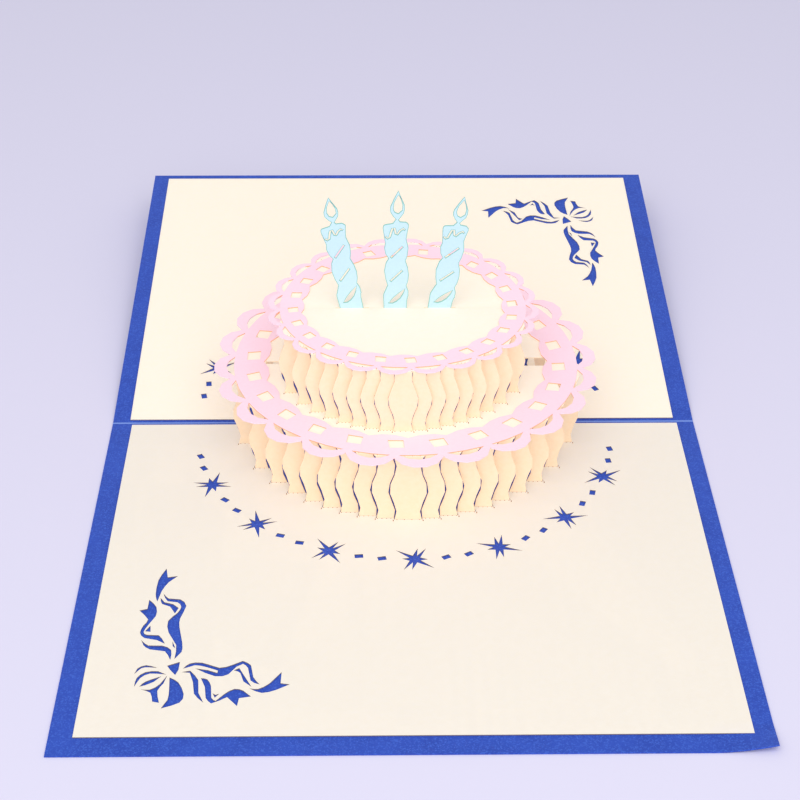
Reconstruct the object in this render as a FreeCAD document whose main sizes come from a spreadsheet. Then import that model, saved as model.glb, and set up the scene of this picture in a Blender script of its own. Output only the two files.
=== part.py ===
"""Pop up card with a two tier paper cake, lying open.

A folded cover carries two paper leaves, one on each panel. Each leaf is cut
from one sheet: its page, a ring of slatted strips that rises from the page,
half of the lower disc, a second ring of strips and half of the upper disc.
A pierced paper ring lies on each tier, and three paper candles stand in the
crease of the upper disc, held between the glue flaps under it.

Frame: +Z is up and the spine of the card runs along X. The front panel lies
flat on Z = 0 and reaches towards -Y. The back panel is still a little raised.
All sizes are in millimetres and degrees.
"""
import FreeCAD, Part
import math
import os

Vec = FreeCAD.Vector
doc = FreeCAD.newDocument("pop_up_card")

# Driving sizes: name, value, what it is
SIZES = (
    ("card_width", 180.0, "cover along its spine"),
    ("panel_depth", 150.0, "each cover panel from the spine outwards"),
    ("cover_thickness", 0.4, "cover card"),
    ("page_angle", 5.15, "how far the back panel is still raised"),
    ("leaf_thickness", 0.3, "leaf paper"),
    ("leaf_side_margin", 5.7, "cover showing beside each leaf"),
    ("leaf_spine_margin", 1.4, "cover showing between spine and leaf"),
    ("front_leaf_margin", 6.4, "cover showing beyond the front leaf"),
    ("back_leaf_margin", 2.8, "cover showing beyond the back leaf"),
    ("leaf_shift", 0.4, "each leaf glued a little off centre"),
    ("pocket_play", 0.3, "candle pocket in the flaps, wider than the root by this"),
    ("flap_depth", 8.0, "glue flap under the upper crease"),
    ("flap_width", 52.0, "length of that flap along the crease"),
    ("wave_size", 1.0, "half swing of the wavy cuts"),
    ("wave_length", 16.0, "length of one wave along a strip"),
    ("wave_start", 3.0, "height of the first inward turn"),
    ("wave_bias", 0.25, "outward set of the wave's middle line"),
    ("lower_radius", 52.3, "circle that the lower folds touch"),
    ("lower_height", 22.0, "underside of the lower crease over the cover"),
    ("lower_centre_strip", 8.6, "width of the middle lower strip"),
    ("lower_strip", 5.18, "width of the other lower strips"),
    ("lower_strip_count", 9, "lower strips each side of the middle one"),
    ("lower_slit", 0.4, "cut between two lower strips"),
    ("lower_shift", 0.5, "lower tier off centre along the spine"),
    ("lower_front_rise", 0.44, "slope of the front half of the lower disc"),
    ("lower_back_rise", 3.09, "slope of the back half of the lower disc"),
    ("upper_radius", 39.0, "circle that the upper folds touch"),
    ("upper_height", 41.5, "underside of the upper crease over the cover"),
    ("upper_centre_strip", 6.2, "width of the middle upper strip"),
    ("upper_strip", 3.97, "width of the other upper strips"),
    ("upper_strip_count", 8, "upper strips each side of the middle one"),
    ("upper_slit", 0.1, "cut between two upper strips"),
    ("upper_shift", -0.9, "upper tier off centre along the spine"),
    ("upper_front_rise", 1.63, "slope of the front half of the upper disc"),
    ("upper_back_rise", 2.91, "slope of the back half of the upper disc"),
    ("window_depth", 2.3, "half depth of the window beside the upper tier"),
    ("slot_depth", 0.7, "half depth of the slot on its other side"),
    ("window_edge", 0.6, "window stops this far short of the ring"),
    ("tab_tuck", 1.0, "tab in the window starts this far under the upper tier"),
    ("tab_width", 3.0, "tab along the crease"),
    ("tab_reach", 3.0, "tab runs this far under the other half disc"),
    ("tab_drop", 1.6, "fall of the tab on its way there"),
    ("ring_thickness", 0.3, "ring card"),
    ("ring_count", 24, "loops, lobes and windows round each ring"),
    ("lower_ring_inset", 0.3, "band edge inside the lower disc"),
    ("lower_band", 9.0, "band width at the inner cusps"),
    ("lower_loop_reach", 6.1, "loops beyond the band"),
    ("lower_loop_hole", 2.3, "hole in each loop beyond the band"),
    ("lower_notch", 1.5, "notch between two loops beyond the band"),
    ("lower_lobe", 1.6, "inner lobes inside the cusps"),
    ("lower_window", 3.9, "radial size of the small windows"),
    ("lower_window_inset", 3.6, "small windows inside the band edge"),
    ("lower_ring_turn", 10.6, "turn of the loops from the crease"),
    ("upper_ring_inset", 2.3, "band edge inside the upper disc"),
    ("upper_band", 6.3, "band width at the inner cusps"),
    ("upper_loop_reach", 3.8, "loops beyond the band"),
    ("upper_loop_hole", 1.9, "hole in each loop beyond the band"),
    ("upper_notch", 1.0, "notch between two loops beyond the band"),
    ("upper_lobe", 1.1, "inner lobes inside the cusps"),
    ("upper_window", 3.0, "radial size of the small windows"),
    ("upper_window_inset", 2.4, "small windows inside the band edge"),
    ("upper_ring_turn", 2.8, "turn of the loops from the crease"),
    ("upper_ring_shift", 0.45, "upper ring glued off the tier's centre"),
    ("cusp_turn", 4.3, "inner cusps turned on from the windows"),
    ("candle_thickness", 0.3, "candle card"),
    ("candle_root", 7.0, "candle below the crease, between the flaps"),
    ("candle_slot", 0.55, "width of the slots across a candle"),
    ("left_candle_x", -15.6, "left candle along the crease"),
    ("middle_candle_x", -2.65, "middle candle along the crease"),
    ("right_candle_x", 10.5, "right candle along the crease"),
    ("left_candle_height", 37.2, "left candle from its foot to its flame's tip"),
    ("middle_candle_height", 39.4, "the middle one"),
    ("right_candle_height", 38.0, "the right one"),
    ("left_candle_lift", 0.6, "left candle's pattern set higher on its root"),
    ("middle_candle_lift", 0.0, "the middle one"),
    ("right_candle_lift", 0.0, "the right one"),
    ("left_candle_lean", -11.0, "left candle leans left"),
    ("middle_candle_lean", 0.0, "middle candle stands straight"),
    ("right_candle_lean", 9.0, "right candle leans right"),
    ("star_clearance", 10.2, "circle of the cut out stars beyond the lower folds"),
    ("star_offset", 8.7, "centre of that circle from the spine"),
    ("star_side", -0.2, "the same centre to the side of the leaf's middle"),
    ("star_pitch", 22.55, "angle from one star to the next"),
    ("star_lead", 1.7, "middle star turned on from straight ahead"),
    ("star_count", 3, "stars each side of the middle one"),
    ("star_size", 6.8, "longest ray of a star"),
    ("dash_length", 2.4, "cut out dash"),
    ("dash_width", 1.7, "its short side"),
    ("bow_side_margin", 22.7, "knot of the cut out bow from the leaf's side edge"),
    ("bow_end_margin", 26.0, "knot of the bow from the front leaf's far edge"),
    ("bow_swell", 0.12, "bow's holes cut this much wider all round"),
    ("back_star_inset", 0.4, "back leaf's stars lie this much further in"),
    ("back_star_shift", 2.4, "and nearer to the spine by this"),
    ("back_bow_inset", 0.9, "back leaf's bow lies this much further in"),
)

sheet = doc.addObject("Spreadsheet::Sheet", "sizes")
for row, (name, value, meaning) in enumerate(SIZES, start=1):
    sheet.set("A%d" % row, name)
    sheet.set("B%d" % row, str(value))
    sheet.setAlias("B%d" % row, name)
    sheet.set("C%d" % row, meaning)
doc.recompute()


def size(name):
    """A driving size as it stands in the sheet."""
    return float(sheet.get(name))


def whole(name):
    """A driving size that counts things."""
    return int(round(size(name)))


LEAF = size("leaf_thickness")
RAISED = math.radians(size("page_angle"))
# Both tiers stand along the line that halves the angle between the pages
UP = Vec(0, -math.sin(RAISED / 2), math.cos(RAISED / 2))
# The spine stands where the lying card is centred on the origin
BACK_REACH = size("panel_depth") * math.cos(RAISED) + size("cover_thickness") * math.sin(RAISED)
SPINE = Vec(0, (size("panel_depth") - BACK_REACH) / 2, size("cover_thickness"))

# Cut out bow: one outline for each hole, drawn from its knot, across the page
# and towards the spine. It is an ordinary ribbon bow with two long wavy tails.
BOW_HOLES = {
    "upper_tip": ((-5.6, 42.2), (-5.0, 38.5), (-2.4, 39.0), (-4.5, 36.5),
                  (-6.1, 32.5), (-6.8, 28.3), (-7.4, 31.2), (-7.2, 37.4)),
    "left_tip": ((-8.9, 28.4), (-6.9, 25.5), (-6.7, 21.6), (-8.3, 18.0),
                 (-9.3, 14.9), (-8.2, 13.6), (-5.1, 13.4), (-3.4, 10.3),
                 (-5.3, 11.6), (-8.7, 12.5), (-10.0, 14.7), (-9.4, 17.6),
                 (-8.4, 20.2), (-11.0, 24.0), (-9.0, 24.7)),
    "left_curl": ((-7.7, 17.2), (-8.7, 15.3), (-7.5, 15.1)),
    "thin_wave": ((-5.9, 29.2), (-4.9, 27.5), (-2.4, 26.6), (-0.9, 25.0),
                  (-1.6, 23.0), (-3.0, 25.7), (-5.3, 26.9)),
    "long_wave": ((-5.4, 31.4), (-3.9, 29.1), (-0.7, 28.7), (1.1, 25.9),
                  (-0.1, 20.7), (0.0, 16.9), (1.3, 10.2), (1.4, 6.6),
                  (0.0, 4.1), (0.0, 9.4), (-2.5, 14.8), (-3.0, 19.5),
                  (-0.9, 22.7), (0.0, 25.5), (-1.2, 27.6), (-3.9, 28.1)),
    "seed": ((-1.2, 10.9), (-0.4, 8.4), (-0.9, 9.0)),
    "left_wave": ((-9.4, 11.4), (-7.5, 9.2), (-3.8, 9.1), (-1.4, 7.4),
                  (-1.2, 3.6), (-2.8, 7.0), (-6.8, 7.8), (-8.6, 9.5)),
    "knot": ((-1.6, 1.0), (1.3, 2.4), (1.2, -0.5), (0.6, -2.4), (-0.7, -0.6)),
    "upper_loop": ((-9.9, -2.1), (-8.4, 0.2), (-6.5, 0.6), (-4.4, 0.3),
                   (-7.2, 1.2), (-9.2, 0.0)),
    "middle_loop": ((-9.4, -7.0), (-8.3, -3.7), (-5.9, -1.9), (-2.0, -2.3),
                    (-3.9, -1.2), (-7.0, -1.5), (-9.0, -3.7)),
    "loop_leaf": ((-7.9, -6.9), (-6.6, -5.2), (-3.1, -3.3), (-4.8, -5.3),
                  (-6.6, -6.4)),
    "lower_loop": ((-7.6, -8.2), (-5.3, -8.4), (-2.9, -6.3), (-1.4, -2.9),
                   (-2.2, -5.9), (-3.5, -8.8), (-2.7, -13.2), (-4.2, -12.8),
                   (-5.0, -9.4)),
    "round_loop": ((-0.6, -3.8), (1.6, -5.6), (3.3, -10.1), (2.5, -13.3),
                   (-1.7, -15.3), (-0.4, -12.3), (-0.3, -8.5)),
    "right_wave": ((2.7, 0.1), (4.1, 1.8), (7.2, 2.1), (11.8, 0.0),
                   (15.2, 1.2), (17.7, 2.7), (19.8, 1.0), (20.6, -3.6),
                   (22.2, -6.3), (20.2, -4.9), (19.3, 0.0), (17.9, 1.8),
                   (16.1, 0.6), (14.2, -2.4), (10.9, -3.1), (5.9, -0.2),
                   (8.9, -0.9), (11.5, -2.1), (11.6, -0.9), (8.3, 0.6),
                   (5.4, 1.3)),
    "right_thin": ((15.8, -0.9), (16.9, -0.2), (18.3, -3.2), (20.3, -7.2),
                   (18.4, -5.3), (17.4, -1.9)),
    "down_wave": ((2.4, -1.5), (4.4, -1.7), (5.5, -5.4), (6.1, -9.9),
                  (8.5, -13.2), (7.0, -9.7), (6.6, -4.7), (4.3, -1.1)),
    "low_wave": ((7.5, -4.1), (8.7, -7.4), (9.2, -11.6), (10.6, -13.6),
                 (12.5, -12.6), (14.5, -11.2), (17.1, -14.5), (17.4, -11.7),
                 (20.3, -11.1), (18.4, -9.0), (16.2, -8.3), (13.9, -10.1),
                 (11.7, -12.9), (10.4, -11.6), (10.0, -7.0), (8.9, -4.5)),
    "small_v": ((10.9, -10.1), (11.4, -11.3), (12.1, -10.3), (11.4, -10.6)),
    "right_tip": ((20.1, -8.1), (22.2, -8.4), (25.1, -6.2), (27.8, -2.1),
                  (27.7, -6.2), (29.9, -6.6), (26.7, -8.6), (23.2, -9.7)),
}

# Rays of half a star: turn from its first ray, and length against the longest
STAR_RAYS = ((0, 0.88), (23, 0.74), (85, 1.0), (120, 0.54))
STAR_VALLEY = 0.25
STAR_TURN = -34.5
# Two dashes stand between neighbouring stars and outside the last ones
DASH_TURNS = (8.1, 14.1)
DASH_TILT = 18.0

# Candle outline above the crease, clockwise from the lower left corner
CANDLE_BODY = (
    (-3.6, 2.4), (-3.6, 4.8), (-2.4, 7.9), (-3.0, 10.0), (-3.4, 12.8),
    (-2.9, 15.6), (-2.1, 17.0), (-3.0, 18.5), (-3.4, 20.5), (-3.1, 22.1),
    (-3.7, 26.2), (-3.7, 27.6), (-3.1, 28.2), (-0.9, 28.6), (0.0, 29.9),
    (-0.8, 30.8), (-1.6, 32.2), (-1.6, 34.0), (-0.6, 36.4), (0.7, 39.0),
    (1.4, 37.1), (2.5, 34.5), (2.3, 31.8), (0.8, 29.7), (1.2, 29.1),
    (2.9, 29.0), (3.7, 28.2), (3.7, 27.2), (3.1, 23.5), (3.7, 20.5),
    (3.4, 17.8), (2.9, 16.1), (3.6, 13.8), (3.9, 11.4), (3.7, 9.3),
    (3.2, 7.6), (3.8, 5.9), (3.8, 4.1), (3.4, 2.4))
CANDLE_FOOT = 3.3
FLAME_HOLE = ((0.7, 37.7), (1.4, 36.4), (1.9, 34.4), (1.8, 32.8),
              (0.7, 31.7), (-0.3, 32.2), (-0.7, 33.5), (-0.4, 35.4))
LEAF_HOLE = ((2.8, 6.7), (0.9, 5.1), (-0.8, 3.4), (-2.1, 1.7), (-0.9, 1.7),
             (0.2, 2.3), (1.3, 3.4), (2.2, 5.0))
DRIP_LINE = ((-3.0, 24.3), (-2.4, 23.7), (-1.8, 24.1), (-1.4, 25.6),
             (-1.0, 26.8), (-0.4, 27.0), (0.0, 25.2), (0.4, 25.0),
             (1.2, 26.2), (2.2, 26.9), (2.6, 26.4))
CANDLE_CUTS = (((2.0, 21.0), (-1.4, 17.3)), ((1.9, 12.9), (-1.5, 9.3)))
DRIP_WIDTH = 0.5
# A candle's height goes into the part above its last twist
CANDLE_TWIST_TOP = 22.0
CANDLE_TOP = 39.0
# Drawn outlines keep the corners that turn by more than this, in degrees
SHARP_TURN = 60.0
# A stretch that stands out by less than this stays straight
LEAST_BULGE = 0.12
# Least sum of the two unit vectors across a tip when an outline is moved out
LEAST_SPREAD = 0.5


def polar(radius, degrees):
    """A flat point from a radius and an angle."""
    angle = math.radians(degrees)
    return (radius * math.cos(angle), radius * math.sin(angle))


def bulge(first, last, depth, steps):
    """Points of a round arc from first to last that stands out by depth.

    The last point is left out, so that arcs can follow each other. A depth
    above zero lies on the right of the way from first to last.
    """
    chord = math.hypot(last[0] - first[0], last[1] - first[1])
    radius = (chord ** 2 / 4 + depth ** 2) / (2 * abs(depth))
    half_turn = 2 * math.atan2(2 * abs(depth), chord)
    along = ((last[0] - first[0]) / chord, (last[1] - first[1]) / chord)
    side = math.copysign(1.0, depth)
    points = []
    for step in range(steps):
        turn = half_turn * (2 * step / steps - 1)
        run = chord / 2 + radius * math.sin(turn)
        rise = side * (radius * (math.cos(turn) - math.cos(half_turn)))
        points.append((first[0] + along[0] * run + along[1] * rise,
                       first[1] + along[1] * run - along[0] * rise))
    return points


def stroke(line, width):
    """Outline of a slot of one width along a line of points."""
    left = []
    right = []
    for index, (x, y) in enumerate(line):
        before = line[max(index - 1, 0)]
        after = line[min(index + 1, len(line) - 1)]
        run = math.hypot(after[0] - before[0], after[1] - before[1])
        across = (-(after[1] - before[1]) / run * width / 2,
                  (after[0] - before[0]) / run * width / 2)
        left.append((x + across[0], y + across[1]))
        right.append((x - across[0], y - across[1]))
    return left + right[::-1]


def turned(before, point, after):
    """How far an outline turns at a point, in degrees."""
    first = math.atan2(point[1] - before[1], point[0] - before[0])
    second = math.atan2(after[1] - point[1], after[0] - point[0])
    return abs((math.degrees(second - first) + 180) % 360 - 180)


def rounded(points):
    """A closed outline with one more point on each stretch that is curved."""
    count = len(points)
    sharp = []
    for i in range(count):
        turn = turned(points[i - 1], points[i], points[(i + 1) % count])
        sharp.append(turn > SHARP_TURN)
    result = []
    for i in range(count):
        here = points[i]
        there = points[(i + 1) % count]
        before = points[i - 1]
        after = points[(i + 2) % count]
        if sharp[i]:
            before = (2 * here[0] - there[0], 2 * here[1] - there[1])
        if sharp[(i + 1) % count]:
            after = (2 * there[0] - here[0], 2 * there[1] - here[1])
        result.append(here)
        # A cubic through the four points passes here halfway
        bulge_x = (here[0] + there[0] - before[0] - after[0]) / 16
        bulge_y = (here[1] + there[1] - before[1] - after[1]) / 16
        if math.hypot(bulge_x, bulge_y) > LEAST_BULGE:
            result.append(((here[0] + there[0]) / 2 + bulge_x,
                           (here[1] + there[1]) / 2 + bulge_y))
    return result


def swollen(points, width):
    """A closed outline moved outwards by a width."""
    count = len(points)
    area = sum(points[i - 1][0] * points[i][1] - points[i][0] * points[i - 1][1]
               for i in range(count))
    outwards = math.copysign(width, area)
    result = []
    for i in range(count):
        before = normal_of(points[i - 1], points[i])
        after = normal_of(points[i], points[(i + 1) % count])
        across = (before[0] + after[0], before[1] + after[1])
        # Mitred, but a sharp tip isn't drawn out without end
        spread = max(math.hypot(across[0], across[1]), LEAST_SPREAD)
        step = 2 * outwards / spread ** 2
        result.append((points[i][0] + across[0] * step, points[i][1] + across[1] * step))
    return result


def normal_of(first, second):
    """Unit vector across a straight stretch, to its right."""
    run = math.hypot(second[0] - first[0], second[1] - first[1])
    return ((second[1] - first[1]) / run, (first[0] - second[0]) / run)


class Half:
    """One half of a page or disc: where it starts and which way it runs."""

    def __init__(self, start, degrees, front):
        angle = math.radians(degrees)
        side = -1 if front else 1
        self.start = start
        self.out = Vec(0, side * math.cos(angle), math.sin(angle))

    def point(self, x, reach):
        """A point at x along the spine and reach away from the crease."""
        return self.start + Vec(x, 0, 0) + self.out * reach


def plate(half, outline, holes, rise):
    """Flat paper on a half: its outline and holes, as thick as rise says."""
    wires = []
    for points in [outline] + list(holes):
        corners = [half.point(x, reach) for x, reach in points]
        wires.append(Part.makePolygon(corners + corners[:1]))
    face = Part.makeFace(wires, "Part::FaceMakerBullseye")
    return face.extrude(rise)


def wave(height):
    """Outward swing of a wavy cut at a height above the fold."""
    turn = 2 * math.pi * (height - size("wave_start")) / size("wave_length")
    return size("wave_bias") - size("wave_size") * math.cos(turn)


# Longest straight piece of a wavy cut
WAVE_PIECE = 3.25


class Tier:
    """The strips of one tier: their edges along the spine and their folds."""

    def __init__(self, name, front):
        self.radius = size(name + "_radius")
        self.middle = size(name + "_centre_strip") / 2
        self.pitch = size(name + "_strip")
        self.count = whole(name + "_strip_count")
        self.slit = size(name + "_slit")
        self.shift = size(name + "_shift")
        self.crease = SPINE + UP * size(name + "_height")
        self.reach = self.edge(self.count)
        rise = size(name + ("_front_rise" if front else "_back_rise"))
        self.half = Half(self.crease, rise, front)

    def edge(self, number):
        """Outer edge of a strip, counted from the middle one."""
        return self.middle + self.pitch * number

    def fold(self, number):
        """How far a strip's folds stand from the crease."""
        return math.sqrt(self.radius ** 2 - self.edge(number) ** 2)

    def ends(self, number, base):
        """A strip's foot in base and its head in the disc's edge."""
        foot = base.point(0, self.fold(number))
        head = self.half.point(0, self.fold(number)) + UP * (LEAF / 2)
        return foot, head

    def cut(self, number, first, last, start):
        """The wavy cut outside a strip, from its fold inwards."""
        pieces = math.ceil((first - last) / WAVE_PIECE)
        points = []
        for step in range(pieces + 1):
            run = (first - last) * step / pieces
            points.append((self.edge(number) + wave(start + run), first - run))
        return points

    def stairs(self, margin, lasts, base=None):
        """The line through folds and wavy cuts, from left to right.

        It starts and stops at the reaches in lasts. With a base it is the
        line at the strips' heads, otherwise the one at their feet.
        """
        sides = []
        for last in lasts:
            line = []
            for number in range(self.count + 1):
                start = 0
                if base:
                    foot, head = self.ends(number, base)
                    start = (head - foot).Length
                following = last
                if number < self.count:
                    following = self.fold(number + 1) + margin
                line += self.cut(number, self.fold(number) + margin, following, start)
            sides.append(line)
        left = [(self.shift - x, reach) for x, reach in sides[0][::-1]]
        return left + [(self.shift + x, reach) for x, reach in sides[1]]


def strip(tier, number, base):
    """One strip of a tier, from its fold in base up into the disc's edge."""
    place = abs(number)
    side = -1 if number < 0 else 1
    foot, head = tier.ends(place, base)
    rise = head - foot
    slit = tier.slit / 2
    pieces = math.ceil(rise.Length / WAVE_PIECE)
    inner = []
    outer = []
    for step in range(pieces + 1):
        share = step / pieces
        height = rise.Length * share
        edge = tier.edge(place) + wave(height)
        if place < tier.count:
            edge -= slit
        if place == 0:
            near = -edge
        else:
            lag = tier.fold(place - 1) - tier.fold(place)
            near = tier.edge(place - 1) + wave(height + lag) + slit
        outer.append(foot + rise * share + Vec(tier.shift + side * edge, 0, 0))
        inner.append(foot + rise * share + Vec(tier.shift + side * near, 0, 0))
    corners = inner + outer[::-1]
    face = Part.Face(Part.makePolygon(corners + corners[:1]))
    face.translate(base.out * (-LEAF / 2))
    return face.extrude(base.out * LEAF)


def star(centre, turn):
    """Eight pointed star with four long and four short rays."""
    tips = []
    for half_turn in (0, 180):
        for degrees, share in STAR_RAYS:
            tips.append((turn + half_turn + degrees, share))
    points = []
    for index, (degrees, share) in enumerate(tips):
        following = tips[(index + 1) % len(tips)][0]
        if index == len(tips) - 1:
            following += 360
        points.append(polar(size("star_size") * share, degrees))
        valley = STAR_VALLEY * size("star_size")
        points.append(polar(valley, (degrees + following) / 2))
    return [(centre[0] + x, centre[1] + y) for x, y in points]


def dash(centre, turn):
    """Small slanted rectangle, its long side near the star circle."""
    points = []
    for along, across in ((-1, -1), (1, -1), (1, 1), (-1, 1)):
        corner = (along * size("dash_length") / 2, across * size("dash_width") / 2)
        reach = math.hypot(corner[0], corner[1])
        angle = math.degrees(math.atan2(corner[1], corner[0]))
        x, y = polar(reach, angle + turn)
        points.append((centre[0] + x, centre[1] + y))
    return points


def page_holes(front):
    """Stars, dashes and bow cut out of a page, as (across, from the spine)."""
    holes = []
    star_x = size("star_side")
    star_y = -size("star_offset")
    bow_x = size("bow_side_margin") - (size("card_width") / 2 - size("leaf_side_margin"))
    bow_y = -(size("panel_depth") - size("front_leaf_margin") - size("bow_end_margin"))
    if not front:
        star_x += size("back_star_inset")
        star_y += size("back_star_shift")
        bow_x += size("back_bow_inset")
    circle = size("lower_radius") + size("star_clearance")
    middle = 270 + size("star_lead")
    for number in range(-whole("star_count") - 1, whole("star_count") + 1):
        around = middle + size("star_pitch") * number
        if number >= -whole("star_count"):
            x, y = polar(circle, around)
            holes.append(star((x + star_x, y + star_y), around + STAR_TURN))
        for lead in DASH_TURNS:
            x, y = polar(circle, around + lead)
            holes.append(dash((x + star_x, y + star_y), around + lead + 90 + DASH_TILT))
    for outline in BOW_HOLES.values():
        hole = swollen(rounded(outline), size("bow_swell"))
        holes.append([(x + bow_x, y + bow_y) for x, y in hole])
    return [[(x, -y) for x, y in hole] for hole in holes]


def leaf(front):
    """One leaf, cut and folded from a single sheet."""
    side = 1 if front else -1
    page = Half(SPINE, 0 if front else size("page_angle"), front)
    lower = Tier("lower", front)
    upper = Tier("upper", front)
    normal = Vec(0, 0, 1) if front else Vec(0, -math.sin(RAISED), math.cos(RAISED))

    # The page, open inside the lower folds and out to the spine
    middle = side * size("leaf_shift")
    reach = size("card_width") / 2 - size("leaf_side_margin")
    near = size("leaf_spine_margin")
    margin = size("front_leaf_margin") if front else size("back_leaf_margin")
    far = size("panel_depth") - margin
    outline = [(middle - reach, near)] + lower.stairs(0, (near, near))
    outline += [(middle + reach, near), (middle + reach, far), (middle - reach, far)]
    holes = [[(middle + side * x, y) for x, y in hole] for hole in page_holes(front)]
    pieces = [plate(page, outline, holes, normal * LEAF)]

    # Half of the lower disc, open under the upper tier, with the slot and the
    # window beside it
    window_end = lower_cusp_radius() - size("window_edge")
    slot = size("slot_depth")
    window = size("window_depth")
    outline = [(lower.shift - window_end, 0), (lower.shift - window_end, slot)]
    outline += upper.stairs(0, (slot, window))
    outline += [(lower.shift + window_end, window), (lower.shift + window_end, 0)]
    outline += lower.stairs(LEAF / 2, (0, 0), page)[::-1]
    pieces.append(plate(lower.half, outline, [], UP * LEAF))

    # Half of the upper disc, up to the crease
    outline = upper.stairs(LEAF / 2, (0, 0), lower.half)
    pieces.append(plate(upper.half, outline, [], UP * LEAF))

    # Strips of both tiers
    for number in range(-lower.count, lower.count + 1):
        pieces.append(strip(lower, number, page))
    for number in range(-upper.count, upper.count + 1):
        pieces.append(strip(upper, number, lower.half))

    # The glue flap under the upper crease and the tab at the lower one
    half_flap = size("flap_width") / 2
    fall = UP * -(size("flap_depth") + LEAF)
    pieces.append(folded(upper, upper.shift - half_flap, upper.shift + half_flap, 0,
                         fall, upper.half.out * LEAF))
    near = upper.reach - size("tab_tuck") - side * (upper.shift - lower.shift)
    far = near + size("tab_width")
    ends = (-far, -near) if front else (near, far)
    reach = slot if front else window
    slide = lower.half.out * -(reach + LEAF + size("tab_reach")) - UP * size("tab_drop")
    pieces.append(folded(lower, lower.shift + ends[0], lower.shift + ends[1],
                         reach + LEAF, slide, UP * -LEAF))

    sheet_shape = pieces[0].multiFuse(pieces[1:])
    for name in ("left", "middle", "right"):
        sheet_shape = sheet_shape.cut(pocket(name))
    return sheet_shape.removeSplitter()


def folded(tier, left, right, reach, way, thickness):
    """Paper folded away from a disc at this reach, along a way."""
    top = UP * LEAF
    corners = [tier.half.point(left, reach) + top, tier.half.point(right, reach) + top]
    corners += [corners[1] + way, corners[0] + way]
    face = Part.Face(Part.makePolygon(corners + corners[:1]))
    return face.extrude(thickness)


def pocket(name):
    """Space between the glue flaps that one candle's root takes up."""
    root = size("candle_root")
    sway = root * abs(math.tan(math.radians(size(name + "_candle_lean"))))
    half = CANDLE_FOOT + sway + size("pocket_play")
    across = Vec(0, math.cos(RAISED / 2), math.sin(RAISED / 2)) * size("candle_thickness")
    middle = size(name + "_candle_x")
    corner = SPINE + UP * (size("upper_height") - size("flap_depth")) - across * 0.5
    corners = [corner + Vec(middle - half, 0, 0), corner + Vec(middle + half, 0, 0)]
    corners += [corners[1] + across, corners[0] + across]
    face = Part.Face(Part.makePolygon(corners + corners[:1]))
    return face.extrude(UP * (size("flap_depth") + 2 * LEAF))


def lower_cusp_radius():
    """Inner cusps of the lower ring."""
    return size("lower_radius") - size("lower_ring_inset") - size("lower_band")


LOOP_STEPS = 5
HOLE_STEPS = 4
LOBE_STEPS = 3
# A ring is drawn on a flat sheet that ends this far beyond its loops
SHEET_EDGE = 1.0
# Corners of the small windows: share of the radial size and turn in degrees
WINDOW_CORNERS = ((0.5, -1.9), (-0.5, -3.15), (-0.56, 2.6), (0.42, 3.05))


def ring(name, centre_x):
    """A pierced ring, creased along the spine: loops outside, lobes inside."""
    count = whole("ring_count")
    sector = 360.0 / count
    turn = size(name + "_ring_turn")
    band = size(name + "_radius") - size(name + "_ring_inset")
    cusp = band - size(name + "_band")
    notch = band + size(name + "_notch")
    outer = []
    inner = []
    holes = []
    for number in range(count):
        window = turn + sector * number
        ends = (polar(notch, window), polar(notch, window + sector))
        middle = notch * math.cos(math.radians(sector / 2))
        depth = band + size(name + "_loop_reach") - middle
        outer += bulge(ends[0], ends[1], depth, LOOP_STEPS)

        cusps = window + size("cusp_turn")
        ends = (polar(cusp, cusps), polar(cusp, cusps + sector))
        middle = cusp * math.cos(math.radians(sector / 2))
        depth = middle - (cusp - size(name + "_lobe"))
        inner += bulge(ends[0], ends[1], -depth, LOBE_STEPS)

        half_hole = 0.41 * sector
        ends = (polar(band, window + sector / 2 - half_hole),
                polar(band, window + sector / 2 + half_hole))
        middle = band * math.cos(math.radians(half_hole))
        depth = band + size(name + "_loop_hole") - middle
        holes.append(bulge(ends[0], ends[1], depth, HOLE_STEPS)
                     + bulge(ends[1], ends[0], -(band - middle), 2))

        radius = band - size(name + "_window_inset") - size(name + "_window") / 2
        holes.append([polar(radius + size(name + "_window") * share, window + degrees)
                      for share, degrees in WINDOW_CORNERS])

    tiers = [Tier(name, True), Tier(name, False)]
    halves = []
    for tier, front in zip(tiers, (True, False)):
        lift = UP * LEAF
        side = -1 if front else 1
        half = Half(tier.crease + lift, 0, front)
        half.out = tier.half.out
        far = band + size(name + "_loop_reach") + SHEET_EDGE
        flat = Half(Vec(0, 0, 0), 0, False)
        wires = []
        for points in [outer, inner] + holes:
            corners = [flat.point(x, y) for x, y in points]
            wires.append(Part.makePolygon(corners + corners[:1]))
        whole_face = Part.makeFace(wires, "Part::FaceMakerBullseye")
        mask = Part.makePlane(2 * far, far, Vec(-far, 0 if side > 0 else -far, 0))
        cut = whole_face.common(mask)
        matrix = FreeCAD.Matrix()
        across = half.out * side
        matrix.A22 = across.y
        matrix.A32 = across.z
        matrix.A14 = centre_x
        matrix.A24 = half.start.y
        matrix.A34 = half.start.z
        for face in cut.Faces:
            halves.append(sheared(face, matrix).extrude(UP * size("ring_thickness")))
    return halves[0].multiFuse(halves[1:]).removeSplitter()


def sheared(face, matrix):
    """A flat face with straight edges, carried over by a matrix."""
    wires = []
    for wire in [face.OuterWire] + [w for w in face.Wires if not w.isSame(face.OuterWire)]:
        corners = [matrix.multVec(vertex.Point) for vertex in wire.OrderedVertexes]
        wires.append(Part.makePolygon(corners + corners[:1]))
    return Part.makeFace(wires, "Part::FaceMakerBullseye")


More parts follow.
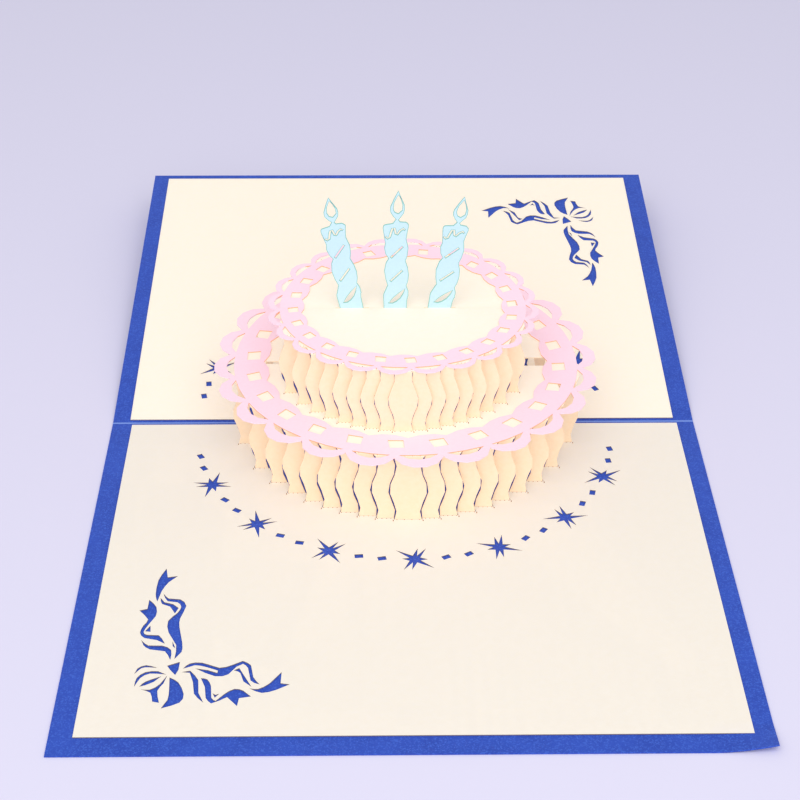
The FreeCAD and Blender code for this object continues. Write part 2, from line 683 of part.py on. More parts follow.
def candle(name):
    """One candle of flat card, with its root in the crease."""
    lean = math.radians(size(name + "_candle_lean"))
    lift = size(name + "_candle_lift")
    root = size("candle_root")
    height = size(name + "_candle_height")
    share = (height - CANDLE_TWIST_TOP) / (CANDLE_TOP - CANDLE_TWIST_TOP)

    def placed(points):
        """The drawn points at this candle's own height."""
        result = []
        for x, y in points:
            if y > CANDLE_TWIST_TOP:
                y = CANDLE_TWIST_TOP + (y - CANDLE_TWIST_TOP) * share
            result.append((x, y + lift))
        return result

    body = [(-CANDLE_FOOT, -root)] + placed(CANDLE_BODY) + [(CANDLE_FOOT, -root)]
    outlines = [rounded(body), rounded(placed(FLAME_HOLE)), rounded(placed(LEAF_HOLE))]
    outlines.append(stroke(placed(DRIP_LINE), DRIP_WIDTH))
    outlines += [stroke(placed(cut), size("candle_slot")) for cut in CANDLE_CUTS]
    wires = []
    for points in outlines:
        corners = [Vec(x, 0, y) for x, y in points]
        wires.append(Part.makePolygon(corners + corners[:1]))
    face = Part.makeFace(wires, "Part::FaceMakerBullseye")
    thickness = size("candle_thickness")
    face.translate(Vec(0, -thickness / 2, 0))
    solid = face.extrude(Vec(0, thickness, 0))
    foot = SPINE + UP * (size("upper_height") + LEAF) + Vec(size(name + "_candle_x"), 0, 0)
    upright = FreeCAD.Rotation(Vec(1, 0, 0), size("page_angle") / 2)
    leaning = FreeCAD.Rotation(Vec(0, 1, 0), math.degrees(lean))
    return solid, FreeCAD.Placement(foot, upright.multiply(leaning))


def bind(item, path, words):
    """Tie one property of an object to the sheet."""
    item.setExpression(path, words)


# The spine's place in the sheet's own words, as for SPINE above
SPINE_WORDS = ("(sizes.panel_depth * (1 - cos(sizes.page_angle * 1 deg))"
               " - sizes.cover_thickness * sin(sizes.page_angle * 1 deg)) / 2")

# The cover: two flat panels and the bend between them
front_panel = doc.addObject("Part::Box", "front_panel")
back_panel = doc.addObject("Part::Box", "back_panel")
for panel in (front_panel, back_panel):
    bind(panel, "Length", "sizes.card_width")
    bind(panel, "Width", "sizes.panel_depth")
    bind(panel, "Height", "sizes.cover_thickness")
    bind(panel, "Placement.Base.x", "-sizes.card_width / 2")
bind(front_panel, "Placement.Base.y", SPINE_WORDS + " - sizes.panel_depth")
back_panel.Placement = FreeCAD.Placement(Vec(0, 0, 0), FreeCAD.Rotation(Vec(1, 0, 0), 1))
bind(back_panel, "Placement.Rotation.Angle", "sizes.page_angle")
bind(back_panel, "Placement.Base.y",
     SPINE_WORDS + " + sizes.cover_thickness * sin(sizes.page_angle * 1 deg)")
bind(back_panel, "Placement.Base.z",
     "sizes.cover_thickness * (1 - cos(sizes.page_angle * 1 deg))")
bend = doc.addObject("Part::Cylinder", "spine_bend")
bind(bend, "Radius", "sizes.cover_thickness")
bind(bend, "Height", "sizes.card_width")
bind(bend, "Angle", "sizes.page_angle")
bend.Placement = FreeCAD.Placement(
    Vec(0, 0, 0), FreeCAD.Rotation(Vec(0, 0, -1), Vec(0, 1, 0), Vec(1, 0, 0), "ZXY"))
bind(bend, "Placement.Base.x", "-sizes.card_width / 2")
bind(bend, "Placement.Base.y", SPINE_WORDS)
bind(bend, "Placement.Base.z", "sizes.cover_thickness")
cover = doc.addObject("Part::MultiFuse", "cover")
cover.Shapes = [front_panel, back_panel, bend]
cover.Refine = True

subparts = {"cover": cover}


def add_piece(name, shape, placement=None):
    """Put a finished shape into the document under its own label."""
    item = doc.addObject("Part::Feature", name)
    item.Label = name
    item.Shape = shape
    if placement is not None:
        item.Placement = placement
    subparts[name] = item


add_piece("front_leaf", leaf(True))
add_piece("back_leaf", leaf(False))
add_piece("lower_ring", ring("lower", size("lower_shift")))
add_piece("upper_ring", ring("upper", size("upper_shift") + size("upper_ring_shift")))
for candle_name in ("left", "middle", "right"):
    shape, placement = candle(candle_name)
    add_piece(candle_name + "_candle", shape, placement)

doc.recompute()
for item in doc.Objects:
    if "Invalid" in item.State or "Error" in item.State:
        raise RuntimeError("%s failed: %s" % (item.Label, item.State))
os.makedirs("parts", exist_ok=True)
for name, item in subparts.items():
    shape = item.Shape
    if shape.isNull() or not shape.isValid():
        raise RuntimeError("%s has no valid shape" % name)
    if len(shape.Solids) != 1:
        raise RuntimeError("%s has %d solids" % (name, len(shape.Solids)))
for name, item in subparts.items():
    item.Shape.exportStep("parts/%s.step" % name)
    box = item.Shape.BoundBox
    print("%-14s volume %9.1f  x %.1f %.1f  y %.1f %.1f  z %.2f %.2f"
          % (name, item.Shape.Volume, box.XMin, box.XMax, box.YMin, box.YMax,
             box.ZMin, box.ZMax))
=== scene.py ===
"""Looks of an open pop up card with a two tier paper cake.

The cover is blue pearl card with one corner curled up, the leaves are cream
paper, the rings pink card and the candles pale blue card. Everything was cut
by laser, so the cut edges are scorched.
"""
import math

import bmesh
import bpy
from bpy.props import FloatProperty, FloatVectorProperty, IntProperty, PointerProperty
from mathutils import Matrix, Vector


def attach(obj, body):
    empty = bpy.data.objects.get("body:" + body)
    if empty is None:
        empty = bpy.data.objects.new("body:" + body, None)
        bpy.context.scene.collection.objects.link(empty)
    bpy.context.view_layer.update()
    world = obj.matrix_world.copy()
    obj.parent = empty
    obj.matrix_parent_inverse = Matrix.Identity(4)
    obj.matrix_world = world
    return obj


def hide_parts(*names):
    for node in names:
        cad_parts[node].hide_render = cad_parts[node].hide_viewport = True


bl_info = {
    "name": "Pop Up Cake Card",
    "version": (1, 0, 0),
    "blender": (4, 5, 0),
    "location": "View3D > Sidebar > Card",
    "description": "Dresses a cut paper pop up card and sets its stage",
    "category": "Object",
}

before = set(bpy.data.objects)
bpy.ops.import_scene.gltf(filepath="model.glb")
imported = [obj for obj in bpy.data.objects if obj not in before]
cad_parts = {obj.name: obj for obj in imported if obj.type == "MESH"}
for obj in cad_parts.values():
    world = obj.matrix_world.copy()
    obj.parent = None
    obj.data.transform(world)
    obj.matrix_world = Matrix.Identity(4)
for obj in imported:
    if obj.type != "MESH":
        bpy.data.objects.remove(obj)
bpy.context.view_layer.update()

MM = 0.001
# The card's planes: the front panel lies flat, the back one is a little raised
SPINE_Y = 0.285 * MM
COVER_THICKNESS = 0.4 * MM
LEAF_THICKNESS = 0.3 * MM
PAGE_ANGLE = math.radians(5.15)
# Both tiers stand along the line that halves the angle between the pages
UP = Vector((0, -math.sin(PAGE_ANGLE / 2), math.cos(PAGE_ANGLE / 2)))
SPINE = Vector((0, SPINE_Y, COVER_THICKNESS))


class Tier:
    """Folds of one tier's strips, as the paper was cut, in millimetres."""

    def __init__(self, radius, height, middle, pitch, count, shift, front_rise, back_rise,
                 ring_notch):
        self.radius = radius
        self.height = height
        self.middle = middle
        self.pitch = pitch
        self.count = count
        self.shift = shift
        self.rises = {True: front_rise, False: back_rise}
        self.ring_notch = ring_notch

    def ends(self, number):
        """Left and right end of a strip along the spine."""
        if number == 0:
            return self.shift - self.middle, self.shift + self.middle
        near = self.middle + self.pitch * (abs(number) - 1)
        far = near + self.pitch
        if number < 0:
            return self.shift - far, self.shift - near
        return self.shift + near, self.shift + far

    def reach(self, number):
        """How far a strip's folds stand from the crease."""
        edge = self.middle + self.pitch * abs(number)
        return math.sqrt(self.radius ** 2 - edge ** 2)


# The rises are in degrees, and a ring's notches lie between its loops
LOWER = Tier(radius=52.3, height=22.0, middle=4.3, pitch=5.18, count=9, shift=0.5,
             front_rise=0.44, back_rise=3.09, ring_notch=53.5)
UPPER = Tier(radius=39.0, height=41.5, middle=3.1, pitch=3.97, count=8, shift=-0.9,
             front_rise=1.63, back_rise=2.91, ring_notch=37.7)
# The upper ring is glued a little off its tier's centre
UPPER_RING_SHIFT = 0.45

# Places of the laser marks from a fold, in millimetres
LOWER_FOLD_OUT = 0.25
UPPER_FOLD_IN = 0.2
COMMA_OUT = 0.35
MARK_LIFT = 0.02
# A comma is this many dots long, and every dot is flattened to this share
COMMA_LENGTH = 3.0
DOT_FLATNESS = 0.4

# How the curled corner bends: steeper towards its tip, which leans inwards
CURL_BEND = 1.4
CURL_LEAN = 0.2


def page_point(front, x, reach, lift=0.0):
    """A point on a page, x along the spine and reach from it, in millimetres."""
    angle = 0.0 if front else PAGE_ANGLE
    side = -1 if front else 1
    out = Vector((0, side * math.cos(angle), math.sin(angle)))
    normal = Vector((0, -math.sin(angle), math.cos(angle)))
    start = SPINE + normal * LEAF_THICKNESS
    return start + Vector((x * MM, 0, 0)) + out * (reach * MM) + normal * (lift * MM)


def disc_point(tier, front, x, reach, lift=0.0):
    """A point on top of a tier's disc."""
    angle = math.radians(tier.rises[front])
    side = -1 if front else 1
    out = Vector((0, side * math.cos(angle), math.sin(angle)))
    start = SPINE + UP * (tier.height * MM + LEAF_THICKNESS)
    return start + Vector((x * MM, 0, 0)) + out * (reach * MM) + UP * (lift * MM)


def linear(code, alpha=1.0):
    """Linear colour from an sRGB hex value such as "3A5BC8"."""
    channels = []
    for index in (0, 2, 4):
        value = int(code[index:index + 2], 16) / 255
        channels.append(value / 12.92 if value <= 0.04045 else ((value + 0.055) / 1.055) ** 2.4)
    return (*channels, alpha)


def add_node(tree, kind, settings=None, links=None):
    """One shader node with its settings, socket values and links."""
    node = tree.nodes.new(kind)
    for name, value in (settings or {}).items():
        if isinstance(name, str) and hasattr(node, name):
            setattr(node, name, value)
        else:
            node.inputs[name].default_value = value
    for name, source in (links or {}).items():
        tree.links.new(source, node.inputs[name])
    return node


def new_material(name):
    """Empty node material with its tree, output and object coordinates."""
    material = bpy.data.materials.new(name)
    material.use_nodes = True
    tree = material.node_tree
    tree.nodes.clear()
    output = tree.nodes.new("ShaderNodeOutputMaterial")
    place = tree.nodes.new("ShaderNodeTexCoord").outputs["Object"]
    return material, tree, output, place


def ramp(tree, source, low, high, interpolation="LINEAR"):
    """A 0 to 1 step between two values of a source."""
    node = add_node(tree, "ShaderNodeMapRange",
                    {"From Min": low, "From Max": high, "interpolation_type": interpolation},
                    {"Value": source})
    return node.outputs["Result"]


def mix(tree, factor, first, second):
    """Colour mix of two sources or hex colours."""
    node = tree.nodes.new("ShaderNodeMix")
    node.data_type = "RGBA"
    sockets = [s for s in node.inputs if s.type == "RGBA"]
    for socket, value in zip(sockets, (first, second)):
        if isinstance(value, str):
            socket.default_value = linear(value)
        else:
            tree.links.new(value, socket)
    if isinstance(factor, float):
        node.inputs[0].default_value = factor
    else:
        tree.links.new(factor, node.inputs[0])
    return [s for s in node.outputs if s.type == "RGBA"][0]


def distance_from(tree, place, centre_x, centre_y):
    """Distance from an upright line, in metres."""
    flat = add_node(tree, "ShaderNodeVectorMath", {"operation": "MULTIPLY", 1: (1, 1, 0)},
                    {0: place})
    away = add_node(tree, "ShaderNodeVectorMath",
                    {"operation": "DISTANCE", 1: (centre_x, centre_y, 0)},
                    {0: flat.outputs["Vector"]})
    return away.outputs["Value"]


def facing(tree, axis):
    """How squarely a face looks along an axis, 0 to 1, either way."""
    normal = tree.nodes.new("ShaderNodeNewGeometry").outputs["True Normal"]
    split = add_node(tree, "ShaderNodeSeparateXYZ", {}, {"Vector": normal})
    size = add_node(tree, "ShaderNodeMath", {"operation": "ABSOLUTE"}, {0: split.outputs[axis]})
    return size.outputs[0]


def fibres(tree, place, spacing, detail=3.0):
    """Fine paper fibre pattern with a real spacing in millimetres."""
    noise = add_node(tree, "ShaderNodeTexNoise",
                     {"Scale": 1 / (spacing * MM), "Detail": detail, "Roughness": 0.6},
                     {"Vector": place})
    return noise.outputs["Fac"]


def pearl_card(settings):
    """Pearl coated card, 300 gsm: a blue sheet with mica in its coating.

    The eye sees a soft silky blue with fine lighter specks and no fibres.
    """
    material, tree, output, place = new_material("pearl coated blue card")
    cloud = fibres(tree, place, 9.0)
    base = mix(tree, ramp(tree, cloud, 0.35, 0.65), settings.deep, settings.middle)
    # Mica flakes are about 0.1 mm, drawn at 0.35 mm so that they show; their glint is painted in
    # as lighter specks
    speck = add_node(tree, "ShaderNodeTexVoronoi", {"Scale": 1 / (0.35 * MM)}, {"Vector": place})
    split = add_node(tree, "ShaderNodeSeparateColor", {}, {"Color": speck.outputs["Color"]})
    glint = ramp(tree, split.outputs["Red"], 0.55, 1.0)
    flakes_and_glint = mix(tree, glint, base, settings.flake_glint)
    # A narrow band along the spine is a lighter blue
    along = add_node(tree, "ShaderNodeSeparateXYZ", {}, {"Vector": place})
    away = add_node(tree, "ShaderNodeMath", {"operation": "SUBTRACT", 1: SPINE_Y},
                    {0: along.outputs["Y"]})
    near = add_node(tree, "ShaderNodeMath", {"operation": "ABSOLUTE"}, {0: away.outputs[0]})
    score = ramp(tree, near.outputs[0], 0.45 * MM, 0.15 * MM)
    colour = mix(tree, score, flakes_and_glint, settings.score)
    bump = add_node(tree, "ShaderNodeBump", {"Strength": 0.15, "Distance": 0.1 * MM},
                    {"Height": split.outputs["Red"]})
    shader = add_node(tree, "ShaderNodeBsdfPrincipled",
                      {"Roughness": 0.5, "Metallic": 0.0, "Specular IOR Level": 0.35},
                      {"Base Color": colour, "Normal": bump.outputs["Normal"]})
    tree.links.new(shader.outputs[0], output.inputs["Surface"])
    return material


def cream_paper(settings):
    """Uncoated cream paper, 220 gsm, creased and laser cut.

    The eye sees a smooth warm white. Upright strips are painted warmer, as a painted
    glow of light through the sheet and between the strips; the cut edges are scorched tan.
    """
    material, tree, output, place = new_material("uncoated cream paper")
    grain = fibres(tree, place, 1.4)
    flat = mix(tree, ramp(tree, grain, 0.3, 0.7), settings.sheet, settings.sheet_light)
    # Upright faces take the strip colours: the cream with a painted warm glow of light through
    # and between the strips
    warm = mix(tree, ramp(tree, grain, 0.3, 0.7), settings.strip, settings.strip_glow_light)
    upright = ramp(tree, facing(tree, "Z"), 0.6, 0.3)
    paper = mix(tree, upright, flat, warm)
    colour = mix(tree, sheet_cut(tree), paper, settings.scorch)
    # Painted shadow: the low cut edges of the holes in the pages are darkened to a bluish grey,
    # over their scorch
    colour = mix(tree, page_cut_shade(tree, place), colour, settings.page_cut_shade)
    bump = add_node(tree, "ShaderNodeBump", {"Strength": 0.08, "Distance": 0.05 * MM},
                    {"Height": grain})
    shader = add_node(tree, "ShaderNodeBsdfPrincipled",
                      {"Roughness": 0.75, "Specular IOR Level": 0.25},
                      {"Base Color": colour, "Normal": bump.outputs["Normal"]})
    through = add_node(tree, "ShaderNodeBsdfTranslucent", {}, {"Color": colour})
    both = add_node(tree, "ShaderNodeMixShader", {0: settings.through},
                    {1: shader.outputs[0], 2: through.outputs[0]})
    warm_glow = mix(tree, settings.warmth_share, colour, settings.warmth)
    tree.links.new(glowing(tree, both.outputs[0], warm_glow, settings.glow),
                   output.inputs["Surface"])
    return material


def glowing(tree, shader, colour, strength):
    """A sheet that also glows faintly with the light scattered inside it."""
    glow = add_node(tree, "ShaderNodeEmission", {"Strength": strength}, {"Color": colour})
    both = add_node(tree, "ShaderNodeAddShader", {}, {0: shader, 1: glow.outputs[0]})
    return both.outputs[0]


def height_over_page(tree, place):
    """Height over the nearer page of the card, in metres."""
    split = add_node(tree, "ShaderNodeSeparateXYZ", {}, {"Vector": place})
    back = add_node(tree, "ShaderNodeMath", {"operation": "SUBTRACT", 1: SPINE_Y},
                    {0: split.outputs["Y"]})
    reach = add_node(tree, "ShaderNodeMath", {"operation": "MAXIMUM", 1: 0.0},
                     {0: back.outputs[0]})
    slope = add_node(tree, "ShaderNodeMath",
                     {"operation": "MULTIPLY", 1: math.tan(PAGE_ANGLE)}, {0: reach.outputs[0]})
    above = add_node(tree, "ShaderNodeMath", {"operation": "SUBTRACT"},
                     {0: split.outputs["Z"], 1: slope.outputs[0]})
    return above.outputs[0]


def sheet_cut(tree):
    """Mask of the cut edges that look along the spine."""
    return ramp(tree, facing(tree, "X"), 0.3, 0.5)


def page_cut_shade(tree, place):
    """Mask of the cut edges of a page, which stand upright and lie low, where painted shadow
    goes.
    """
    upright = ramp(tree, facing(tree, "Z"), 0.6, 0.4)
    low = ramp(tree, height_over_page(tree, place), COVER_THICKNESS + 1.1 * LEAF_THICKNESS,
               COVER_THICKNESS + 1.05 * LEAF_THICKNESS)
    both = add_node(tree, "ShaderNodeMath", {"operation": "MULTIPLY"}, {0: upright, 1: low})
    return both.outputs[0]


def dyed_card(name, tint_code, roughness, glow):
    """Dyed card, 250 gsm: one even colour with a faint fibre grain.

    Gives the material's tree, its colour, the coordinates and a function that
    closes it with the final colour.
    """
    material, tree, output, place = new_material(name)
    grain = fibres(tree, place, 1.1)
    shade = add_node(tree, "ShaderNodeMapRange",
                     {"From Min": 0.3, "From Max": 0.7, "To Min": 0.97, "To Max": 1.0},
                     {"Value": grain})
    tint = add_node(tree, "ShaderNodeHueSaturation", {"Color": linear(tint_code)},
                    {"Value": shade.outputs["Result"]})

    def close(colour):
        """Light the card in this colour."""
        bump = add_node(tree, "ShaderNodeBump", {"Strength": 0.08, "Distance": 0.05 * MM},
                        {"Height": grain})
        shader = add_node(tree, "ShaderNodeBsdfPrincipled",
                          {"Roughness": roughness, "Specular IOR Level": 0.25},
                          {"Base Color": colour, "Normal": bump.outputs["Normal"]})
        tree.links.new(glowing(tree, shader.outputs[0], colour, glow),
                       output.inputs["Surface"])
        return material

    return tree, place, tint.outputs["Color"], close


def ring_card(values, tier, shift):
    """Pink dyed card of one ring.

    The laser has scorched the small cuts orange, while the outer edge of the
    loops stays pink.
    """
    name = "pink dyed card %g mm" % tier.radius
    tree, place, pink, close = dyed_card(name, values.ring, 0.7, values.glow)
    centre = SPINE + UP * (tier.height * MM)
    away = distance_from(tree, place, shift * MM, centre.y)
    inside = ramp(tree, away, (tier.ring_notch + 0.3) * MM, tier.ring_notch * MM)
    cut = ramp(tree, facing(tree, "Z"), 0.75, 0.5)
    both = add_node(tree, "ShaderNodeMath", {"operation": "MULTIPLY"}, {0: inside, 1: cut})
    return close(mix(tree, both.outputs[0], pink, values.ring_edge))


def candle_card(values):
    """Pale blue dyed card of the candles' faces."""
    _, _, blue, close = dyed_card("pale blue dyed card", values.candle, 0.6, values.glow)
    return close(blue)


def candle_rim(values):
    """Cut edge of the candles: the blue dye scorched to a grey green."""
    _, _, green, close = dyed_card("scorched blue card edge", values.candle_edge, 0.7,
                                   values.glow)
    return close(green)


def scorch_and_hole_shade(values):
    """Paper burnt through by the laser: small dark brown spots, their scorched rims with painted
    shade for the dark seen through the holes.
    """
    material, tree, output, place = new_material("laser scorch and hole shade")
    grain = fibres(tree, place, 0.3)
    colour = mix(tree, ramp(tree, grain, 0.3, 0.7), values.burn_and_shade, values.burn_and_shade_light)
    shader = add_node(tree, "ShaderNodeBsdfPrincipled", {"Roughness": 0.9},
                      {"Base Color": colour})
    tree.links.new(shader.outputs[0], output.inputs["Surface"])
    return material


def paint(node_name, material):
    """Give a CAD node this material and no other."""
    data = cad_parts[node_name].data
    data.materials.clear()
    data.materials.append(material)


def finish_mesh(name, build, material):
    """Turn a bmesh into a linked object of the card."""
    mesh = bpy.data.meshes.new(name)
    build.to_mesh(mesh)
    build.free()
    mesh.materials.append(material)
    piece = bpy.data.objects.new(name, mesh)
    bpy.context.scene.collection.objects.link(piece)
    return piece


def colour_property(name, description, default):
    """A colour kept as an sRGB hex value."""
    return bpy.props.StringProperty(name=name, description=description, default=default)


class CARD_PG_cover(bpy.types.PropertyGroup):
    """Sizes and colours of the cover."""
    width: FloatProperty(name="Width", description="Cover along its spine",
                         default=180 * MM, unit="LENGTH")
    depth: FloatProperty(name="Depth", description="Each panel from the spine",
                         default=150 * MM, unit="LENGTH")
    curl_height: FloatProperty(name="Curl height", description="Lift of the curled corner",
                               default=1.9 * MM, unit="LENGTH")
    curl_front: FloatProperty(name="Curl along the front", default=15 * MM, unit="LENGTH",
                              description="Length of front edge that lifts")
    curl_side: FloatProperty(name="Curl along the side", default=10 * MM, unit="LENGTH",
                             description="Length of side edge that lifts")
    deep: colour_property("Deep blue", "Shaded colour of the card", "2448B4")
    middle: colour_property("Blue", "Main colour of the card", "294FBF")
    # Lighter blue of the mica flakes, with their glint painted in
    flake_glint: colour_property("Flake", "Mica flakes in the coating", "3B64D0")
    # Lighter blue of a narrow band along the spine
    score: colour_property("Score", "Cracked coating along the spine", "7F9EEA")


class CARD_PG_paper(bpy.types.PropertyGroup):
    """Colours of the leaves, rings and candles, and the scorched spots."""
    sheet: colour_property("Page", "Cream paper lying flat", "F9F3E9")
    sheet_light: colour_property("Light page", "Lighter fibres", "FBF6ED")
    # The strip colours are the cream with a painted warm glow of light through and between the
    # upright strips
    strip: colour_property("Strip", "Upright strips", "F8E5CA")
    strip_glow_light: colour_property("Light strip", "Lighter fibres of the strips", "FAE9D2")
    scorch: colour_property("Scorch", "Cut edges of the paper", "DCB480")
    # Painted shadow laid on the cut edges of the holes in the pages, in place of their scorch
    page_cut_shade: colour_property("Page cut", "Dark cut edges of the holes in the pages", "5A5670")
    # Scorched rims of the laser holes, with painted shade for the dark seen through them
    burn_and_shade: colour_property("Burn", "Laser spots along the folds", "7A5236")
    burn_and_shade_light: colour_property("Light burn", "Paler parts of the spots", "A87C56")
    warmth: colour_property("Warmth", "Colour of the light inside the cream paper", "FFE0B4")
    warmth_share: FloatProperty(name="Warmth share", default=0.6, min=0.0, max=1.0,
                                description="How far that light takes the warm colour")
    through: FloatProperty(name="Light through", default=0.2, min=0.0, max=1.0,
                           description="Share of light that comes through the paper")
    glow: FloatProperty(name="Glow", description="Light scattered inside the paper",
                        default=0.16, min=0.0)
    ring: colour_property("Ring", "Pink ring card", "FAD6E6")
    ring_edge: colour_property("Ring edge", "Scorched edge of the rings", "F2B288")
    candle: colour_property("Candle", "Pale blue candle card", "C0DFEE")
    candle_edge: colour_property("Candle edge", "Cut edge of the candles", "8FC4BC")
    candle_rim: FloatProperty(name="Candle rim", description="Width of the scorched rim",
                              default=0.22 * MM, unit="LENGTH", precision=5)
    dots: IntProperty(name="Dots", description="Perforations in each fold", default=4, min=1)
    dot_radius: FloatProperty(name="Dot radius", description="Size of a perforation",
                              default=0.15 * MM, unit="LENGTH", precision=5)


class CARD_PG_stage(bpy.types.PropertyGroup):
    """Floor, lights and camera."""
    floor: colour_property("Floor", "Pale lavender surface", "E2DFF7")
    sky: FloatProperty(name="Room light", description="Strength of the even light",
                       default=0.62, min=0.0)
    key: FloatProperty(name="Key light", description="Power of the large soft lamp",
                       default=11.0, min=0.0)
    key_size: FloatProperty(name="Key light size", description="Side of the square lamp",
                            default=1.5, unit="LENGTH")
    key_place: FloatVectorProperty(name="Key light place", subtype="TRANSLATION",
                                   description="Where the large soft lamp stands",
                                   default=(-0.05, -0.85, 0.85))
    lens: FloatProperty(name="Lens", description="Focal length", default=86.469,
                        unit="CAMERA")
    camera_place: FloatVectorProperty(
        name="Camera place", description="Where the camera stands", subtype="TRANSLATION",
        default=(-9.700 * MM, -501.583 * MM, 322.567 * MM))
    camera_turn: FloatVectorProperty(
        name="Camera turn", description="Which way the camera looks", subtype="EULER",
        default=(1.011694, -0.004418, -0.014296))


class CARD_OT_cover(bpy.types.Operator):
    """Folded cover of pearl card, one corner curled up by handling"""
    bl_idname = "card.cover"
    bl_label = "Cover"

    def execute(self, context):
        values = context.scene.card_cover
        build = bmesh.new()
        for front in (True, False):
            before = set(build.verts)
            bmesh.ops.create_grid(build, x_segments=90, y_segments=75, size=0.5)
            panel = [vert for vert in build.verts if vert not in before]
            side = -1 if front else 1
            bmesh.ops.scale(build, vec=(values.width, values.depth, 1), verts=panel)
            bmesh.ops.translate(build, vec=(0, side * values.depth / 2, 0), verts=panel)
            if not front:
                bmesh.ops.rotate(build, cent=(0, 0, 0), verts=panel,
                                 matrix=Matrix.Rotation(PAGE_ANGLE, 3, "X"))
            bmesh.ops.translate(build, vec=SPINE, verts=panel)
        bmesh.ops.remove_doubles(build, verts=build.verts, dist=0.05 * MM)
        corner = Vector((values.width / 2, SPINE_Y - values.depth))
        for vert in build.verts:
            across = 1 - (corner.x - vert.co.x) / values.curl_front
            down = 1 - (vert.co.y - corner.y) / values.curl_side
            if across > 0 and down > 0:
                bend = across * down
                lean = CURL_LEAN * values.curl_height * bend ** 2
                vert.co.z += values.curl_height * bend ** CURL_BEND
                vert.co.x -= lean
                vert.co.y += lean
        piece = finish_mesh("cover_card", build, pearl_card(values))
        thick = piece.modifiers.new("card", "SOLIDIFY")
        thick.thickness = COVER_THICKNESS
        thick.offset = -1
        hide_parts("cover")
        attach(piece, "root")
        return {"FINISHED"}


class CARD_OT_leaves(bpy.types.Operator):
    """Cream paper on both leaves"""
    bl_idname = "card.leaves"
    bl_label = "Leaves"

    def execute(self, context):
        paper = cream_paper(context.scene.card_paper)
        for name in ("front_leaf", "back_leaf"):
            paint(name, paper)
        return {"FINISHED"}


class CARD_OT_rings(bpy.types.Operator):
    """Pink card on both pierced rings"""
    bl_idname = "card.rings"
    bl_label = "Rings"

    def execute(self, context):
        values = context.scene.card_paper
        paint("lower_ring", ring_card(values, LOWER, LOWER.shift))
        paint("upper_ring", ring_card(values, UPPER, UPPER.shift + UPPER_RING_SHIFT))
        return {"FINISHED"}


class CARD_OT_candles(bpy.types.Operator):
    """Pale blue card candles with a thin scorched rim round every cut"""
    bl_idname = "card.candles"
    bl_label = "Candles"

    def execute(self, context):
        values = context.scene.card_paper
        card = candle_card(values)
        rim = candle_rim(values)
        for name in ("left_candle", "middle_candle", "right_candle"):
            build = bmesh.new()
            build.from_mesh(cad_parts[name].data)
            bmesh.ops.remove_doubles(build, verts=build.verts, dist=0.005 * MM)
            # Both flat sides keep their colour inside a thin scorched rim
            broad = [face for face in build.faces if abs(face.normal.y) > 0.9]
            for side in (-1, 1):
                faces = [face for face in broad if face.normal.y * side > 0]
                bmesh.ops.inset_region(build, faces=faces, thickness=values.candle_rim,
                                       use_even_offset=False)
                for face in faces:
                    face.material_index = 1
            piece = finish_mesh(name + "_card", build, rim)
            piece.data.materials.append(card)
            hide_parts(name)
            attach(piece, "root")
        return {"FINISHED"}


class CARD_OT_folds(bpy.types.Operator):
    """Laser perforations along the folds and the hooked ends of the slits"""
    bl_idname = "card.folds"
    bl_label = "Fold marks"

    def execute(self, context):
        values = context.scene.card_paper
        build = bmesh.new()
        for front in (True, False):
            for tier, lowest in ((LOWER, None), (UPPER, LOWER)):
                for number in range(-tier.count, tier.count + 1):
                    self.lower_fold(build, values, front, tier, number, lowest)
                    self.upper_fold(build, values, front, tier, number)
        piece = finish_mesh("fold_marks", build, scorch_and_hole_shade(values))
        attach(piece, "root")
        return {"FINISHED"}

    def lower_fold(self, build, values, front, tier, number, disc):
        """Dots along a strip's lower fold and a short comma at its outer end."""

        def place(x, reach):
            """A point on the page, or on the disc that the tier stands on."""
            if disc is None:
                return page_point(front, x, reach, MARK_LIFT)
            return disc_point(disc, front, x, reach, MARK_LIFT)

        left, right = tier.ends(number)
        reach = tier.reach(number) + LOWER_FOLD_OUT
        self.dots(build, values, left, right, reach, place)
        corners = [left] if number < 0 else [right]
        if number == 0:
            corners = [left, right]
        for corner in corners:
            # The comma is a slit's end: painted shade for the dark seen through it, in the
            # scorch colour
            self.dot(build, place(corner, reach + COMMA_OUT), values.dot_radius, COMMA_LENGTH)

    def upper_fold(self, build, values, front, tier, number):
        """Dots along a strip's upper fold, on its own disc."""
        left, right = tier.ends(number)
        self.dots(build, values, left, right, tier.reach(number) - UPPER_FOLD_IN,
                  lambda x, reach: disc_point(tier, front, x, reach))

    def dots(self, build, values, left, right, reach, place):
        """Evenly spaced dots between two ends."""
        for index in range(values.dots):
            x = left + (right - left) * (index + 0.5) / values.dots
            self.dot(build, place(x, reach), values.dot_radius)

    def dot(self, build, centre, radius, length=1.0):
        """One flattened ball, drawn out away from the spine by its length."""
        stretch = Matrix.Diagonal((1.0, length, DOT_FLATNESS, 1.0))
        shape = Matrix.Translation(centre) @ stretch
        bmesh.ops.create_icosphere(build, subdivisions=1, radius=radius, matrix=shape)


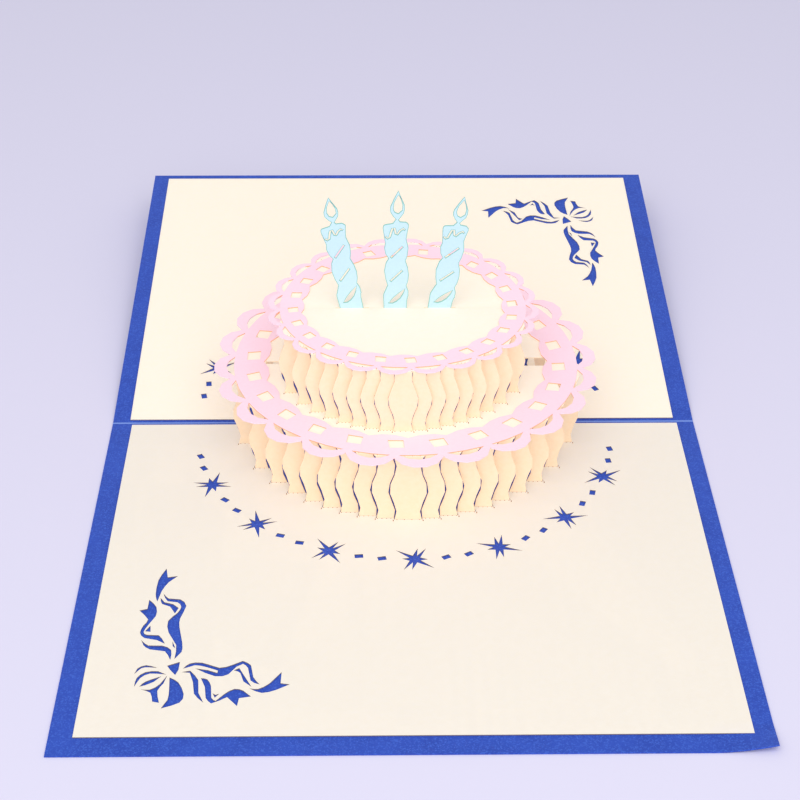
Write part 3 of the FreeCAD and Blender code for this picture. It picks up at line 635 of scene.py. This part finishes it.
class CARD_OT_stage(bpy.types.Operator):
    """Pale floor, soft studio light and the camera"""
    bl_idname = "card.stage"
    bl_label = "Stage"

    def execute(self, context):
        values = context.scene.card_stage
        self.floor(values)
        self.lights(context, values)
        data = bpy.data.cameras.new("photo camera")
        data.lens = values.lens
        data.sensor_width = 36.0
        data.clip_start = 0.01
        data.clip_end = 20.0
        camera = bpy.data.objects.new("photo camera", data)
        camera.location = values.camera_place
        camera.rotation_euler = values.camera_turn
        context.scene.collection.objects.link(camera)
        context.scene.camera = camera
        context.scene.view_settings.view_transform = "Standard"
        return {"FINISHED"}

    def floor(self, values):
        """A wide matt sheet under the card."""
        build = bmesh.new()
        bmesh.ops.create_grid(build, x_segments=1, y_segments=1, size=3.0)
        bmesh.ops.translate(build, vec=(0, 0, -0.05 * MM), verts=build.verts)
        material, tree, output, _ = new_material("matt lavender backdrop paper")
        shader = add_node(tree, "ShaderNodeBsdfPrincipled",
                          {"Roughness": 0.9, "Specular IOR Level": 0.1,
                           "Base Color": linear(values.floor)})
        tree.links.new(shader.outputs[0], output.inputs["Surface"])
        finish_mesh("floor", build, material)

    def lights(self, context, values):
        """Even room light and one large soft lamp above."""
        world = bpy.data.worlds.new("soft room")
        world.use_nodes = True
        world.node_tree.nodes["Background"].inputs["Color"].default_value = linear("FFFFFF")
        world.node_tree.nodes["Background"].inputs["Strength"].default_value = values.sky
        context.scene.world = world
        data = bpy.data.lights.new("key lamp", "AREA")
        data.shape = "SQUARE"
        data.size = values.key_size
        data.energy = values.key
        data.color = linear("FFFEFC")[:3]
        lamp = bpy.data.objects.new("key lamp", data)
        lamp.location = values.key_place
        lamp.rotation_euler = (-lamp.location).to_track_quat("-Z", "Y").to_euler()
        context.scene.collection.objects.link(lamp)


class CARD_PT_panel(bpy.types.Panel):
    """Sizes, colours and steps of the card"""
    bl_label = "Pop Up Card"
    bl_idname = "CARD_PT_panel"
    bl_space_type = "VIEW_3D"
    bl_region_type = "UI"
    bl_category = "Card"

    def draw(self, context):
        for group, operators in PANEL_ROWS:
            box = self.layout.box()
            values = getattr(context.scene, group)
            for name in values.bl_rna.properties.keys():
                if name not in ("rna_type", "name"):
                    box.prop(values, name)
            for operator in operators:
                box.operator(operator)


PANEL_ROWS = (
    ("card_cover", ("card.cover",)),
    ("card_paper", ("card.leaves", "card.rings", "card.candles", "card.folds")),
    ("card_stage", ("card.stage",)),
)
GROUPS = (("card_cover", CARD_PG_cover), ("card_paper", CARD_PG_paper),
          ("card_stage", CARD_PG_stage))
CLASSES = (CARD_PG_cover, CARD_PG_paper, CARD_PG_stage, CARD_OT_cover, CARD_OT_leaves,
           CARD_OT_rings, CARD_OT_candles, CARD_OT_folds, CARD_OT_stage, CARD_PT_panel)


def register():
    """Register the classes and hang their values on the scene."""
    for item in CLASSES:
        bpy.utils.register_class(item)
    for name, group in GROUPS:
        setattr(bpy.types.Scene, name, PointerProperty(type=group))


def unregister():
    """Undo register."""
    for name, group in GROUPS:
        delattr(bpy.types.Scene, name)
    for item in reversed(CLASSES):
        bpy.utils.unregister_class(item)


def main():
    """Dress the card and set the stage."""
    register()
    bpy.ops.card.cover()
    bpy.ops.card.leaves()
    bpy.ops.card.rings()
    bpy.ops.card.candles()
    bpy.ops.card.folds()
    bpy.ops.card.stage()


if __name__ == "__main__":
    main()
